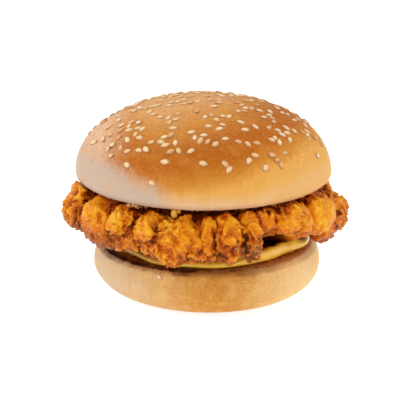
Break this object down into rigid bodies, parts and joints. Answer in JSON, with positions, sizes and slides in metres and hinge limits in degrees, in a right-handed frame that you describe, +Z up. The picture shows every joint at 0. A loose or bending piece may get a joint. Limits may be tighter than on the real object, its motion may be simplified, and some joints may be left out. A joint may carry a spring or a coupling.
{
  "type": "crispy chicken cheeseburger",
  "caption": "Burger with a sesame seed bun crown, a craggy fried chicken fillet, a melted cheese slice and a toasted bun heel, stacked as one prepared food item.",
  "frame": {"origin": "on the floor under the middle of the burger's outline", "axes": "+Z up through the crown, +X to the viewer's right along the fillet's longer side, -Y towards the viewer"},
  "size_m": [0.1172, 0.112, 0.0805],
  "materials": {
    "bun_crust": "soft baked crust, golden brown on top and pale at the lip",
    "fried_crust": "crisp fried coating, slightly oily",
    "melted_cheese": "glossy melted cheese",
    "heel_crust": "soft baked crust with a toasted cut edge"
  },
  "bodies": {
    "root": {"bun_crown": "bun_crust", "chicken_fillet": "fried_crust", "cheese_slice": "melted_cheese", "bun_heel": "heel_crust"}
  },
  "joints": []
}
